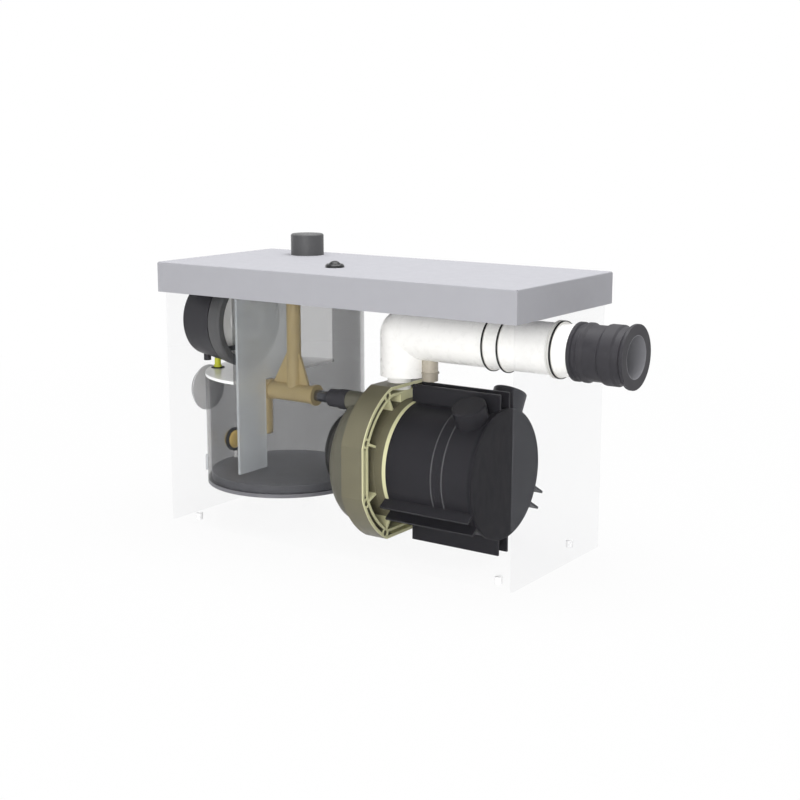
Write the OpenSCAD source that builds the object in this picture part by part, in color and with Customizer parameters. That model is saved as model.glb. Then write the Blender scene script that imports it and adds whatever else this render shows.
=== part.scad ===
// Macerator toilet pump in a clear tank.
// X runs along the tank towards the discharge, -Y is the front, Z is up from the underside of the tank.

/* [Tank] */
// Outside length of the tank
tank_l = 426; // [410:1:460]
// Outside width of the tank
tank_w = 177; // [176:1:200]
// Height of the tank rim
tank_h = 275; // [273:1:300]
// Wall and floor thickness of the tank
tank_wall = 2.5; // [2:0.1:3]

/* [Lid] */
// Wall thickness of the lid skirt
lid_wall = 2.5; // [1.5:0.1:4]
// Thickness of the lid's top plate
lid_top = 3; // [2:0.1:5]
// Depth of the skirt, from the top of the lid
skirt_h = 31.5; // [20:0.5:36]
// Space between the skirt and the tank
lid_gap = 1.7; // [0.8:0.1:3]
// Thickness of the rubber strip on the tank rim
lid_seal_t = 2; // [1:0.1:3]
// Radius of the vent cap
vent_r = 18; // [16:0.5:24]
// Height of the vent cap above the lid
vent_h = 23; // [16:0.5:40]
// Place of the vent cap along the tank
vent_x = -136.7; // [-160:1:-110]
// Place of the vent cap across the tank
vent_y = 58; // [40:1:62]
// Radius of the button's bezel
bezel_r = 10; // [9.6:0.1:14]
// Place of the button along the tank
button_x = -30; // [-60:1:0]
// Place of the button across the tank
button_y = -32; // [-50:1:-20]
// Travel of the button
button_travel = 2.5; // [1.5:0.1:3]

/* [Chamber] */
// Place of the chamber's axis along the tank
chamber_x = -123; // [-124:0.5:-120]
// Outside radius of the chamber
chamber_r = 85.5; // [84:0.1:85.7]
// Wall thickness of the chamber
chamber_wall = 4; // [3:0.1:5]
// Underside of the chamber above the tank's underside
chamber_z = 41; // [38:0.5:42]
// Thickness of the chamber's base
base_t = 12; // [8:0.5:13]
// Height at which the left half of the chamber is cut off
cut_z = 158; // [157:0.5:160]
// Thickness of the white cover plate
cover_t = 3; // [2:0.1:4]
// Thickness of the splash baffle
baffle_t = 3; // [2:0.1:4]

/* [Inlets] */
// Radius of the side inlet's hole
side_inlet_r = 20; // [16:0.5:22]
// Radius of the port bush in the chamber wall
port_r = 10; // [8:0.2:11]

/* [Pump] */
// Height of the pump and motor axis
pump_z = 85; // [84.5:0.1:86]
// Radius of the grinder drum
drum_r = 38; // [36:0.1:38.5]
// Radius of the volute
volute_r = 70; // [68:0.5:71]
// Radius of the pump flange
flange_r = 85.5; // [84:0.1:86]
// Half width of the pump flange between its side flats
flange_side = 81.5; // [80:0.1:83]
// Length of the pump flange along its axis
flange_l = 26; // [24:0.5:26]
// Wall thickness of the pump flange
flange_wall = 3; // [2:0.1:3.5]
// Radius of the pump shaft
shaft_r = 6; // [5:0.1:6.5]
// Radius of the impeller
impeller_r = 56; // [50:0.5:58]
// Radius swept by the cutter blade
blade_r = 29; // [24:0.5:30]

/* [Motor] */
// Radius of the motor shell
motor_r = 63; // [62:0.1:64]
// Wall thickness of the motor shell
motor_wall = 3; // [2:0.1:4]
// Length of the motor shell
motor_l = 96; // [94:0.5:97]
// Radius of the motor's end cap
end_cap_r = 65.5; // [65:0.1:68]
// Thickness of the fins
fin_t = 2.4; // [1.6:0.1:4]
// Half the distance between the two fins of a pair
fin_half = 8.5; // [7:0.1:10]
// Radius of the two round bosses
boss_r = 17; // [14:0.5:18]

/* [Discharge] */
// Outside radius of the discharge pipe
pipe_r = 25; // [24:0.1:25.5]
// Wall thickness of the discharge pipe
pipe_wall = 3; // [2.6:0.1:3.2]
// Height of the discharge pipe's axis
pipe_z = 214.3; // [213:0.1:218]
// Bore radius of the rubber coupling
coupling_bore = 20; // [18:0.1:20.4]
// Length of the rubber coupling
coupling_l = 58; // [56:0.5:70]

/* [Level switch] */
// Radius of the switch at its back
switch_back_r = 40.6; // [39:0.1:42]
// Outside radius of the switch's front rim
switch_rim_r = 50; // [48:0.1:50.5]
// Radius of the opening in the switch's front
switch_mouth_r = 39; // [36:0.1:40]
// Height of the switch's axis
switch_z = 215; // [214:0.2:220]
// Place of the switch's axis across the tank
switch_y = -25; // [-28:0.5:-22]

/* [Manifold] */
// Radius of the manifold's horizontal barrel
barrel_r = 9.5; // [8.5:0.1:10]
// Radius of the manifold's column and down leg
column_r = 7.5; // [6:0.1:8]
// Place of the column along the tank
column_x = -90; // [-94:0.5:-86]
// Height of the barrel's axis
barrel_z = 144; // [142:0.5:146]
// Place of the manifold across the tank
barrel_y = -25; // [-26:0.5:-22]
// Radius of the steel tube
tube_r = 6; // [5:0.1:6.4]

/* [Hidden] */
$fn = 72;
// Small overlap that makes cuts run clean through
e = 0.5;
// Space between pieces that are fitted together
fit = 0.2;
// Running clearance round shafts and pins
run = 0.03;

inner_l = tank_l / 2 - tank_wall;
inner_w = tank_w / 2 - tank_wall;
lid_z = tank_h + lid_seal_t + lid_top;
lid_under = lid_z - lid_top;
lid_hl = tank_l / 2 + lid_gap + lid_wall;
lid_hw = tank_w / 2 + lid_gap + lid_wall;

button_r = 6;
button_low = lid_under - 2;
socket_z = button_low - button_travel - 6.5;

insert_x = tank_l / 2 - 24;
insert_y = tank_w / 2 - 18.5;
insert_bore = 2.2;
insert_r = 3.6;
insert_h = 7;
insert_boss_r = 6.5;
insert_boss_h = 10;

chamber_in = chamber_r - chamber_wall;
base_top = chamber_z + base_t;
rim_h = 4;
clip_angles = [35, 215];
tube_top = tank_h - 3;
baffle_x = chamber_x + 3;
baffle_left = baffle_x - baffle_t / 2;
cut_x = baffle_left;
baffle_low = 62;
baffle_strip = -38;
baffle_wide = 22;
port_y = 4;
port_z = 73.5;
port_x = chamber_x - chamber_r + 0.5;
side_y = -28;
side_z = 137;
side_seal_t = 1.2;
side_disc_t = 1.5;

drum_x = chamber_x + chamber_r - 3.7;
volute_x = drum_x + 25.2;
volute_z = pump_z - 4;
volute_fillet = 12;
flange_x = volute_x + 30;
flange_end = flange_x + flange_l;
flange_top = 79.5;
flange_foot = 75.3;
plate_t = 3;
slot_gap = 4;
// Angles of the screw blocks round the flange
screw_angles = [22, 62, 118, 158, 202, 238, 302, 338];
screw_r = 1.8;
head_r = 3;
inner_wall = 2.5;
pocket_in = flange_wall + slot_gap + inner_wall;
ring_r = motor_r + 0.5;
motor_x = flange_end + 14;
motor_end = motor_x + motor_l;
cap_t = 3.9;
// Fin pairs, each with its angle from +Y and its reach from the axis
top_fin = motor_r + 17.5;
bottom_fin = motor_r + 18;
fin_pairs = [[90, top_fin], [270, bottom_fin], [214, motor_r + 11.5], [330, motor_r + 22.5]];
fin_x = motor_x - 4;
cutter_t = 4;
blade_t = 4.4;
blade_x = drum_x - 0.4 - blade_t;
nut_l = 5;
shaft_tip = blade_x - nut_l - 1.5;
impeller_x = volute_x + 7;
rotor_r = motor_r - 19;
stator_x = motor_x + 16;
stator_l = motor_l - 36;
bearing_r = 16;
bearing_w = 10;
outlet_x = flange_x + flange_l / 2;
outlet_r = 12;
outlet_top = pump_z + flange_top;

leg_x = outlet_x + 7;
leg_bottom = 172;
joint_x = tank_l / 2 - 72;
spigot_l = 7;
stub_x = leg_x + 30.8;
stub_r = 8;
stub_end = 178;
pipe_end = tank_l / 2 + 37;
seat_x = joint_x + 9;
seat_t = 4;
flap_t = 2;
flap_r = 18.4;
flap_gap = 0.3;
hinge_dz = 18;
hinge_x = seat_x + seat_t + flap_gap + flap_t + 0.3;
knuckle_r = 1.9;
knuckle_l = 12;
// Distance below the hinge that the seat's ears turn clear of
ear_reach = 5.5;
pin_r = 1;
coupling_x = tank_l / 2 + 18;
coupling_end = coupling_x + coupling_l;

switch_x = -inner_l;
switch_joint = switch_x + 41.5;
switch_face = switch_x + 60.5;
switch_joint_r = 46.5;
diaphragm_x = switch_joint + 2.2;
diaphragm_r = switch_joint_r - 5.4;
nipple_x = chamber_x - 70;
nipple_y = -30;
nipple_r = 3.4;

barrel_end = column_x + 30;
// Distance of the down leg from the column
leg_dx = -40;
sleeve_x = drum_x + 0.4;
stub_tip = volute_x - 1.2;

gland_x = 90;
gland_z = 112;
gland_r = 8;

// Cylinder along X from x0 to x1
module xcyl(x0, x1, r, y = 0, z = 0) {
    translate([x0, y, z]) rotate([0, 90, 0]) cylinder(h = x1 - x0, r = r);
}

// Tube along X
module xtube(x0, x1, r, bore, y = 0, z = 0) {
    difference() {
        xcyl(x0, x1, r, y, z);
        xcyl(x0 - e, x1 + e, bore, y, z);
    }
}

// Cylinder along Y from y0 to y1
module ycyl(y0, y1, r, x = 0, z = 0) {
    translate([x, y1, z]) rotate([90, 0, 0]) cylinder(h = y1 - y0, r = r);
}

// Solid of revolution about an axis along X, from points [radius, x]
module xturn(points, y = 0, z = 0) {
    translate([0, y, z]) rotate([0, 90, 0]) rotate_extrude() polygon(points);
}

// Shape drawn in the plane across the pump, extruded along X
module across(x0, x1, z = pump_z) {
    translate([x0, 0, z]) rotate([90, 0, 90]) linear_extrude(x1 - x0) children();
}

// Open box with walls of one thickness
module box_shell(hl, hw, z0, z1, wall) {
    difference() {
        translate([-hl, -hw, z0]) cube([2 * hl, 2 * hw, z1 - z0]);
        translate([wall - hl, wall - hw, z0 - e]) cube([2 * (hl - wall), 2 * (hw - wall), z1 - z0 + 2 * e]);
    }
}

module at_inserts() {
    for (sx = [-1, 1], sy = [-1, 1]) translate([sx * insert_x, sy * insert_y, 0]) children();
}

module tank_floor() {
    color([0.92, 0.93, 0.96, 0.3]) difference() {
        union() {
            translate([-inner_l, -inner_w, 0]) cube([2 * inner_l, 2 * inner_w, tank_wall]);
            at_inserts() cylinder(h = insert_boss_h, r = insert_boss_r);
        }
        at_inserts() translate([0, 0, -e]) cylinder(h = insert_h + e, r = insert_r);
    }
}

// Front and back walls
module tank_sides() {
    color([0.92, 0.93, 0.96, 0.3]) difference() {
        for (y = [-tank_w / 2, inner_w])
            translate([-tank_l / 2, y, 0]) cube([tank_l, tank_wall, tank_h]);
        ycyl(inner_w - e, tank_w / 2 + e, gland_r, gland_x, gland_z);
    }
}

// Left and right walls, between the front and the back
module tank_ends() {
    color([0.92, 0.93, 0.96, 0.3]) difference() {
        for (x = [-tank_l / 2, inner_l])
            translate([x, -inner_w, 0]) cube([tank_wall, 2 * inner_w, tank_h]);
        xcyl(inner_l - e, tank_l / 2 + e, pipe_r + 1.2, 0, pipe_z);
        xcyl(-tank_l / 2 - e, -inner_l + e, side_inlet_r, side_y, side_z);
    }
}

module tank_supports() {
    rib_t = 2.5;
    rib_l = 60;
    saddle_w = 80;
    rail_l = 80;
    color([0.92, 0.93, 0.96, 0.3]) union() {
        // Pedestal ribs under the chamber
        for (a = [30 : 60 : 330]) translate([chamber_x, 0, tank_wall]) rotate(a)
            translate([16, -rib_t / 2, 0]) cube([rib_l, rib_t, chamber_z - tank_wall]);
        // Saddle ribs under the pump flange
        for (x = [flange_x + 2, flange_end - 2 - rib_t])
            translate([x, -saddle_w / 2, tank_wall]) cube([rib_t, saddle_w, pump_z - flange_foot - tank_wall]);
        // Rails under the motor's lower fins
        for (s = [-1, 1]) translate([motor_x + 10, s * fin_half - 2, tank_wall])
            cube([rail_l, 4, pump_z - bottom_fin - tank_wall]);
    }
}

module floor_inserts() {
    color([0.75, 0.62, 0.32]) at_inserts() difference() {
        cylinder(h = insert_h, r = insert_r - 0.02);
        translate([0, 0, -e]) cylinder(h = insert_h - 1 + e, r = insert_bore);
    }
}

module lid_seal() {
    color([0.16, 0.16, 0.17])
        box_shell(tank_l / 2, tank_w / 2, tank_h, tank_h + lid_seal_t, tank_wall);
}

module lid() {
    edge = 1.2;
    color([0.73, 0.73, 0.75]) difference() {
        union() {
            translate([-lid_hl, -lid_hw, lid_z - skirt_h]) cube([2 * lid_hl, 2 * lid_hw, skirt_h - edge]);
            translate([edge - lid_hl, edge - lid_hw, lid_z - edge - e])
                cube([2 * (lid_hl - edge), 2 * (lid_hw - edge), edge + e]);
            // Rounded top edge
            for (s = [-1, 1]) {
                translate([-lid_hl + edge, s * (lid_hw - edge), lid_z - edge]) rotate([0, 90, 0])
                    cylinder(h = 2 * (lid_hl - edge), r = edge);
                translate([s * (lid_hl - edge), lid_hw - edge, lid_z - edge]) rotate([90, 0, 0])
                    cylinder(h = 2 * (lid_hw - edge), r = edge);
            }
        }
        translate([lid_wall - lid_hl, lid_wall - lid_hw, lid_z - skirt_h - e])
            cube([2 * (lid_hl - lid_wall), 2 * (lid_hw - lid_wall), skirt_h - lid_top + e]);
        translate([vent_x, vent_y, lid_under - e]) cylinder(h = lid_top + 2 * e, r = vent_r - 6);
        translate([button_x, button_y, lid_under - e]) cylinder(h = lid_top + 2 * e, r = bezel_r - 1);
    }
}

module vent_cap() {
    wall = 2;
    lip = 1.2;
    color([0.33, 0.33, 0.34]) translate([vent_x, vent_y, lid_z]) rotate_extrude() polygon([
        [vent_r - wall, 0], [vent_r, 0], [vent_r, vent_h - lip], [vent_r - lip, vent_h],
        [0, vent_h], [0, vent_h - wall], [vent_r - wall, vent_h - wall]]);
}

module vent_filter() {
    color([0.12, 0.12, 0.12]) translate([vent_x, vent_y, lid_z])
        cylinder(h = vent_h - 2.4, r = vent_r - 2 - 0.3);
}

module button_bezel() {
    color([0.1, 0.1, 0.11]) translate([button_x, button_y, 0]) rotate_extrude() polygon([
        [button_r + 0.05, lid_z + 3.4], [bezel_r - 2, lid_z + 3.4], [bezel_r - 0.6, lid_z + 2.2],
        [bezel_r, lid_z], [bezel_r - 1.05, lid_z], [bezel_r - 1.05, socket_z + 3], [bezel_r - 2.2, socket_z + 3],
        [bezel_r - 2.2, button_low + 0.1], [button_r + 0.05, button_low + 0.1]]);
}

module button_socket() {
    color([0.14, 0.14, 0.15]) translate([button_x, button_y, socket_z]) difference() {
        cylinder(h = 3, r = bezel_r - 1.05);
        translate([0, 0, 1.5]) cylinder(h = 2, r = bezel_r - 2.6);
    }
}

module push_button() {
    dome_h = 3;
    dome_r = (button_r * button_r + dome_h * dome_h) / (2 * dome_h);
    color([0.07, 0.07, 0.08]) translate([button_x, button_y, 0]) union() {
        translate([0, 0, button_low - 2]) cylinder(h = 2, r = bezel_r - 2.5);
        translate([0, 0, button_low - 1]) cylinder(h = lid_z + 3.6 - button_low + 1, r = button_r);
        intersection() {
            translate([0, 0, lid_z + 3.6 + dome_h - dome_r]) sphere(r = dome_r, $fn = 48);
            translate([0, 0, lid_z + 3.5]) cylinder(h = dome_h + 1, r = button_r);
        }
    }
}

module button_spring() {
    wire = 0.4;
    coil_r = 3.6;
    turns = 4;
    z0 = socket_z + 1.5 + wire;
    z1 = button_low - 2 - wire;
    steps = 12;
    color([0.7, 0.7, 0.72]) translate([button_x, button_y, 0]) tube_along([
        for (i = [0 : turns * steps]) let (a = 360 * i / steps)
            [coil_r * cos(a), coil_r * sin(a), z0 + (z1 - z0) * i / (turns * steps)]], wire, 5);
}

// Tube of round section swept along points
module tube_along(pts, r, sides) {
    n = len(pts);
    dirs = [for (i = [0 : n - 1]) let (d = pts[min(i + 1, n - 1)] - pts[max(i - 1, 0)]) d / norm(d)];
    rings = [for (i = [0 : n - 1]) let (d = dirs[i], u = cross(d, [0, 0, 1]) / norm(cross(d, [0, 0, 1])), v = cross(d, u))
        [for (k = [0 : sides - 1]) pts[i] + r * (cos(360 * k / sides) * u + sin(360 * k / sides) * v)]];
    points = [for (ring = rings, p = ring) p];
    sides_f = [for (i = [0 : n - 2], k = [0 : sides - 1]) let (k2 = (k + 1) % sides)
        each [[i * sides + k, i * sides + k2, (i + 1) * sides + k2], [i * sides + k, (i + 1) * sides + k2, (i + 1) * sides + k]]];
    cap0 = [for (k = [1 : sides - 2]) [0, k + 1, k]];
    cap1 = [for (k = [1 : sides - 2]) [(n - 1) * sides, (n - 1) * sides + k, (n - 1) * sides + k + 1]];
    polyhedron(points, concat(sides_f, cap0, cap1), convexity = 8);
}

module chamber_tube() {
    collar = 3.8;
    color([0.42, 0.43, 0.45, 0.6]) difference() {
        union() {
            translate([chamber_x, 0, chamber_z + rim_h]) cylinder(h = tube_top - chamber_z - rim_h, r = chamber_r, $fn = 120);
            xcyl(chamber_x + 50, chamber_x + chamber_r + 1.5, drum_r + fit + collar, 0, pump_z);
        }
        translate([chamber_x, 0, 0]) cylinder(h = tank_h, r = chamber_in, $fn = 120);
        xcyl(chamber_x, 0, drum_r + fit, 0, pump_z);
        xcyl(chamber_x, 0, tube_r + fit, barrel_y, barrel_z);
        xcyl(chamber_x - chamber_r - e, chamber_x, port_r + fit, port_y, port_z);
        translate([cut_x - 100, -100, cut_z]) cube([100, 200, 200]);
        translate([chamber_x, -60, 0]) cube([100, 120, chamber_z + rim_h]);
    }
}

module chamber_base() {
    color([0.24, 0.24, 0.25]) translate([chamber_x, 0, 0]) union() {
        translate([0, 0, chamber_z]) cylinder(h = rim_h, r = chamber_r, $fn = 120);
        translate([0, 0, chamber_z + 1]) cylinder(h = base_t - 1, r = chamber_in - fit, $fn = 120);
    }
}

module base_clips() {
    clip_w = 9;
    clip_t = 2.4;
    clip_h = 16;
    color([0.8, 0.81, 0.83]) for (a = clip_angles) translate([chamber_x, 0, base_top - 2]) rotate(a)
        translate([chamber_r + 0.1, -clip_w / 2, 0]) rotate([90, 0, 90])
            linear_extrude(clip_t) polygon([[0, 0], [clip_w, 0], [clip_w - 1, clip_h], [1, clip_h]]);
}

module cover_plate() {
    color([0.95, 0.95, 0.95]) difference() {
        translate([chamber_x, 0, cut_z]) cylinder(h = cover_t, r = chamber_r, $fn = 120);
        translate([baffle_left - 0.3, -100, cut_z - e]) cube([100, 200, cover_t + 2 * e]);
        translate([nipple_x, nipple_y, cut_z - e]) cylinder(h = cover_t + 2 * e, r = nipple_r + 4);
    }
}

module splash_baffle() {
    color([0.66, 0.7, 0.72, 0.7]) difference() {
        union() {
            translate([baffle_left, -chamber_r, cut_z]) cube([baffle_t, baffle_wide + chamber_r, tube_top - cut_z]);
            translate([baffle_left, -chamber_r, baffle_low]) cube([baffle_t, baffle_strip + chamber_r, cut_z - baffle_low + e]);
        }
        difference() {
            translate([baffle_left - e, -100, 0]) cube([baffle_t + 2 * e, 200, 300]);
            translate([chamber_x, 0, -e]) cylinder(h = 302, r = chamber_in - 0.3, $fn = 120);
        }
    }
}

module switch_housing() {
    back = 3;
    wall = 3;
    nub_x = switch_x + 4.5;
    nub_y = switch_y - 7;
    nub_r = 4;
    color([0.23, 0.23, 0.24]) difference() {
        union() {
            xturn([[0, switch_x], [switch_back_r - 2, switch_x], [switch_back_r, switch_x + 2],
                [switch_joint_r, switch_joint], [0, switch_joint]], switch_y, switch_z);
            translate([nub_x, nub_y, switch_z - switch_back_r - 6]) cylinder(h = 10, r = nub_r);
        }
        xturn([[0, switch_x + back], [switch_back_r - wall, switch_x + back],
            [switch_joint_r - wall - 2, switch_joint + e], [0, switch_joint + e]], switch_y, switch_z);
    }
}

module switch_rim() {
    lip = 2;
    color([0.33, 0.33, 0.34]) xturn([[switch_joint_r - 5, switch_joint + 0.4], [switch_joint_r - 0.8, switch_joint + 0.4],
        [switch_joint_r + 1, switch_joint + 2], [switch_rim_r, switch_face - 4], [switch_rim_r, switch_face - 1],
        [switch_rim_r - 1, switch_face], [switch_mouth_r + lip + 1, switch_face],
        [switch_mouth_r, switch_face - 6], [switch_mouth_r, switch_face - 8], [switch_joint_r - 5, switch_face - 10]],
        switch_y, switch_z);
}

module switch_diaphragm() {
    color([0.96, 0.96, 0.96]) xturn([[0, diaphragm_x], [diaphragm_r, diaphragm_x], [diaphragm_r, diaphragm_x + 1.6],
        [diaphragm_r - 3, diaphragm_x + 1.6], [diaphragm_r - 5, diaphragm_x + 3],
        [diaphragm_r - 8, diaphragm_x + 1.6], [14, diaphragm_x + 1.6], [12, diaphragm_x + 3.2], [0, diaphragm_x + 3.2]],
        switch_y, switch_z);
}

module switch_contacts() {
    bar_x = diaphragm_x + 6.4;
    bar_t = 3;
    color([0.13, 0.13, 0.14]) difference() {
        union() {
            // Cross bar fixed to the rim, with the contact block on it
            translate([bar_x, switch_y - switch_mouth_r - 1.4, switch_z - 30]) cube([bar_t, 2 * switch_mouth_r + 2.8, 5]);
            translate([bar_x, switch_y - 2, switch_z - 30]) cube([bar_t, 4, 30]);
            xcyl(bar_x, bar_x + 6, 8, switch_y, switch_z);
            for (a = [45 : 90 : 315]) translate([0, switch_y, switch_z]) rotate([a, 0, 0])
                xcyl(bar_x, bar_x + 5, 3.6, 10, 0);
        }
        xcyl(bar_x - e, bar_x + 7, 3, switch_y, switch_z);
        difference() {
            xcyl(bar_x - e, bar_x + bar_t + e, 60, switch_y, switch_z);
            xcyl(bar_x - 2 * e, bar_x + bar_t + 2 * e, switch_mouth_r - 0.05, switch_y, switch_z);
        }
    }
}

module pressure_nipple() {
    top = switch_z - switch_back_r - 2.6;
    color([0.72, 0.76, 0.2]) translate([nipple_x, nipple_y, cut_z - 6]) difference() {
        union() {
            cylinder(h = top - cut_z + 6, r = nipple_r);
            translate([0, 0, cover_t + 7]) cylinder(h = 2, r = nipple_r + 1);
        }
        translate([0, 0, -e]) cylinder(h = top - cut_z + 2, r = nipple_r - 1.4);
    }
}

module nipple_grommet() {
    color([0.1, 0.1, 0.13]) translate([nipple_x, nipple_y, cut_z + 0.1]) difference() {
        cylinder(h = cover_t + 0.6, r = nipple_r + 4 - 0.05);
        translate([0, 0, -e]) cylinder(h = cover_t + 2 * e + 0.6, r = nipple_r + 0.05);
    }
}

// Plug that blanks the side inlet, with its disc inside the tank
module side_inlet_cap() {
    plug_out = 1.5;
    disc_lap = 5;
    color([0.6, 0.6, 0.61]) union() {
        xcyl(-tank_l / 2 - plug_out, -inner_l + e, side_inlet_r - side_seal_t - 0.05, side_y, side_z);
        xcyl(-inner_l, -inner_l + side_disc_t, side_inlet_r + disc_lap, side_y, side_z);
    }
}

module side_inlet_seal() {
    lip_t = 1;
    x0 = -tank_l / 2 - lip_t;
    color([0.16, 0.16, 0.17]) difference() {
        union() {
            xcyl(x0, -inner_l, side_inlet_r - 0.05, side_y, side_z);
            xcyl(x0, -tank_l / 2, side_inlet_r + 2, side_y, side_z);
        }
        xcyl(x0 - e, -inner_l + e, side_inlet_r - side_seal_t, side_y, side_z);
    }
}

module port_bush() {
    color([0.9, 0.65, 0.32]) translate([port_x, 0, 0]) difference() {
        xturn([[0, 0], [port_r, 0], [port_r, 8], [port_r - 1.5, 9.5], [port_r - 2.5, 8.5],
            [port_r * 0.5, 9.3], [0, 9.6]], port_y, port_z, $fn = 48);
        xcyl(-e, 4, port_r - 3, port_y, port_z);
    }
}

module port_grommet() {
    x0 = port_x + chamber_wall + 0.6;
    color([0.17, 0.15, 0.12]) difference() {
        xtube(x0, x0 + 2.8, port_r + 3, port_r + 0.05, port_y, port_z);
        // Back face that follows the inside of the chamber
        translate([chamber_x, 0, 0]) difference() {
            cylinder(h = 200, r = chamber_r + 10);
            translate([0, 0, -e]) cylinder(h = 202, r = chamber_in - 0.1, $fn = 120);
        }
    }
}

module drain_pin() {
    color([0.92, 0.92, 0.92]) translate([chamber_x - chamber_in + 4.5, port_y, base_top]) union() {
        cylinder(h = 7, r = 1.6);
        cylinder(h = 1.5, r = 2.6);
    }
}

module manifold() {
    rib_t = 3;
    rib_top = 46;
    rib_left = 20;
    rib_right = 12;
    leg_low = 93;
    column_top = tank_h - 6;
    bx = column_x + leg_dx;
    color([0.78, 0.66, 0.42]) difference() {
        union() {
            xcyl(bx, barrel_end, barrel_r, barrel_y, barrel_z);
            xcyl(barrel_end - 3, barrel_end, barrel_r + 1.6, barrel_y, barrel_z);
            xcyl(bx + 6, bx + 10, barrel_r + 1.6, barrel_y, barrel_z);
            translate([bx, barrel_y, barrel_z]) sphere(r = barrel_r, $fn = 48);
            translate([bx, barrel_y, leg_low]) cylinder(h = barrel_z - leg_low, r = column_r);
            translate([column_x, barrel_y, barrel_z]) cylinder(h = column_top - barrel_z, r = column_r);
            translate([column_x, barrel_y + rib_t / 2, barrel_z]) rotate([90, 0, 0]) linear_extrude(rib_t)
                polygon([[-column_r - rib_left, barrel_r - 1], [-column_r + 1, rib_top],
                    [column_r - 1, rib_top], [column_r + rib_right, barrel_r - 1]]);
        }
        xcyl(bx, barrel_end + e, tube_r + 0.02, barrel_y, barrel_z);
        translate([bx, barrel_y, leg_low - e]) cylinder(h = barrel_z - leg_low + e, r = column_r - 2);
        translate([column_x, barrel_y, barrel_z]) cylinder(h = column_top - barrel_z + e, r = column_r - 2);
        // Bevelled lower end of the down leg
        translate([bx, barrel_y - 20, leg_low]) rotate([0, -30, 0]) translate([-30, 0, -30]) cube([60, 40, 30]);
    }
}

module steel_tube() {
    color([0.72, 0.72, 0.75]) xtube(barrel_end - 12, sleeve_x + 14, tube_r, tube_r - 1, barrel_y, barrel_z);
}

module rubber_sleeve() {
    color([0.15, 0.15, 0.16]) difference() {
        union() {
            xcyl(sleeve_x, stub_tip, tube_r + 3.3, barrel_y, barrel_z);
            xcyl(sleeve_x + 13, stub_tip, tube_r + 4.3, barrel_y, barrel_z);
        }
        xcyl(sleeve_x - e, stub_tip + e, tube_r + 0.02, barrel_y, barrel_z);
        translate([chamber_x, 0, 0]) cylinder(h = tank_h, r = chamber_r + 0.3, $fn = 120);
    }
}

module grinder_housing() {
    wall = 4;
    foot_t = 2;
    color([0.3, 0.3, 0.31]) xturn([[drum_r - wall, drum_x], [drum_r - 0.8, drum_x], [drum_r, drum_x + 0.8],
        [drum_r, volute_x - foot_t], [drum_r + 4, volute_x - foot_t], [drum_r + 4, volute_x],
        [drum_r - wall, volute_x]], 0, pump_z);
}

module cutter_ring() {
    slots = 8;
    color([0.66, 0.67, 0.69]) difference() {
        xcyl(drum_x, drum_x + cutter_t, drum_r - 4 - 0.05, 0, pump_z);
        xcyl(drum_x - e, drum_x + cutter_t + e, shaft_r + 1.5, 0, pump_z);
        for (i = [0 : slots - 1]) translate([0, 0, pump_z]) rotate([i * 360 / slots, 0, 0])
            translate([drum_x - e, 13, -2]) cube([cutter_t + 2 * e, 15, 4]);
    }
}

module flange_outline(inset) {
    intersection() {
        circle(r = flange_r - inset, $fn = 120);
        translate([-flange_side + inset, -flange_foot + inset])
            square([2 * (flange_side - inset), flange_foot + flange_top - 2 * inset]);
    }
}

module pump_housing() {
    wall = 4;
    f = volute_fillet;
    n = 6;
    inlet_r = 30;
    plate = 2;
    color([0.45, 0.44, 0.34]) difference() {
        union() {
            xturn(concat([[inlet_r, volute_x], [volute_r - f, volute_x]],
                [for (i = [1 : n]) let (a = 90 * i / n) [volute_r - f + f * sin(a), volute_x + f - f * cos(a)]],
                [[volute_r, flange_x - 1], [inlet_r, flange_x - 1]]), 0, volute_z, $fn = 96);
            across(flange_x - 1 - plate, flange_x - 1) flange_outline(3);
            // Stub for the rubber sleeve
            xcyl(stub_tip + 0.2, flange_x - 4, tube_r + 4, barrel_y, barrel_z);
            xcyl(sleeve_x + 15, stub_tip + 1, tube_r - 0.02, barrel_y, barrel_z);
        }
        xcyl(volute_x + wall, flange_x, volute_r - wall - 3, 0, volute_z);
        xcyl(volute_x - e, flange_x, inlet_r, 0, pump_z);
        xcyl(sleeve_x + 14, flange_x - 6, tube_r - 2, barrel_y, barrel_z);
    }
}

module housing_gasket() {
    color([0.12, 0.12, 0.12]) across(flange_x - 1, flange_x) difference() {
        flange_outline(4.5);
        translate([0, volute_z - pump_z]) circle(r = volute_r - 7);
    }
}

module at_screws() {
    for (a = screw_angles) rotate(a) translate([screw_reach(a), 0]) children();
}

function screw_reach(a) = min(flange_r, flange_side / max(0.01, abs(cos(a))),
    (sin(a) > 0 ? flange_top : flange_foot) / max(0.01, abs(sin(a)))) - flange_wall - slot_gap / 2;

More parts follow.
